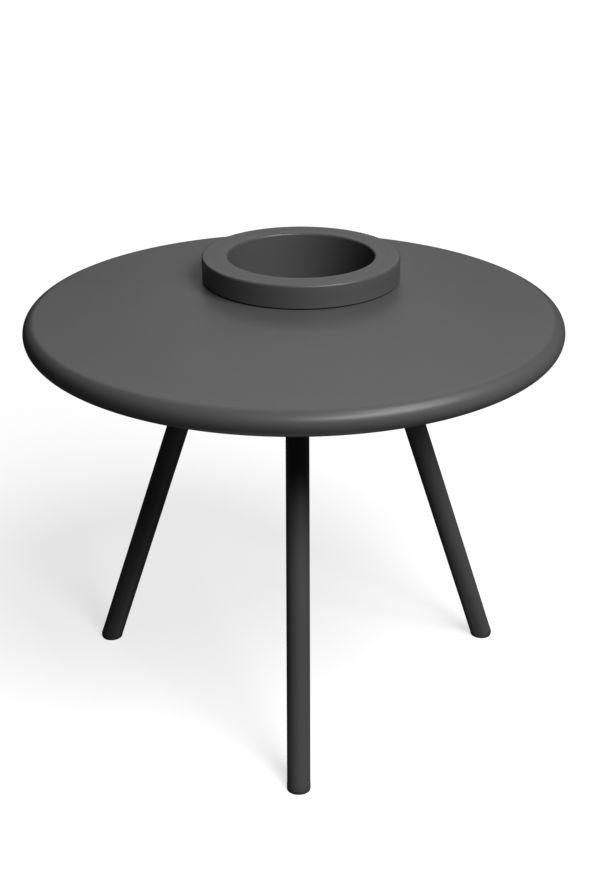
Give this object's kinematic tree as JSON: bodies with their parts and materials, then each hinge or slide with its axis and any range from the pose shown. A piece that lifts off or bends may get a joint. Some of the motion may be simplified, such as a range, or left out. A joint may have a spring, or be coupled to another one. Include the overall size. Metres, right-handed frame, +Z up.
{
  "type": "coffee table",
  "caption": "Round patio coffee table with a rolled-edge sheet top on splayed tube legs and a lift-out bowl let into the top.",
  "frame": {"origin": "on the floor under the table top's axis, in the plane of the three soles", "axes": "+Z up; +Y towards the bowl, which is at the back in the picture; -Y towards the front leg; +X to the viewer's right"},
  "size_m": [0.5999, 0.5998, 0.5135],
  "materials": {
    "coat_dark": "fine-textured matt anthracite powder coat",
    "bowl_moulding": "finely grained moulded plastic in the same grey",
    "soft_black": "matt black",
    "glide_moulding": "matt dark grey moulded plastic",
    "zinc": "zinc plated"
  },
  "bodies": {
    "table": {"table_top": "coat_dark", "bowl_seat_ring": "soft_black", "leg_plate": "coat_dark", "plate_studs": "zinc", "plate_washers": "zinc", "plate_nuts": "zinc", "leg_socket_front": "coat_dark", "leg_socket_right": "coat_dark", "leg_socket_left": "coat_dark", "leg_washer_front": "soft_black", "leg_washer_right": "soft_black", "leg_washer_left": "soft_black", "leg_stud_front": "zinc", "leg_stud_right": "zinc", "leg_stud_left": "zinc", "leg_plug_front": "zinc", "leg_plug_right": "zinc", "leg_plug_left": "zinc", "leg_tube_front": "coat_dark", "leg_tube_right": "coat_dark", "leg_tube_left": "coat_dark", "foot_glide_front": "glide_moulding", "foot_glide_right": "glide_moulding", "foot_glide_left": "glide_moulding"},
    "bowl": {"bowl": "bowl_moulding"}
  },
  "joints": [
    {"name": "bowl_lift", "type": "slide", "parent": "table", "child": "bowl", "axis": [0, 0, 1], "range_m": [0, 0.2]}
  ]
}
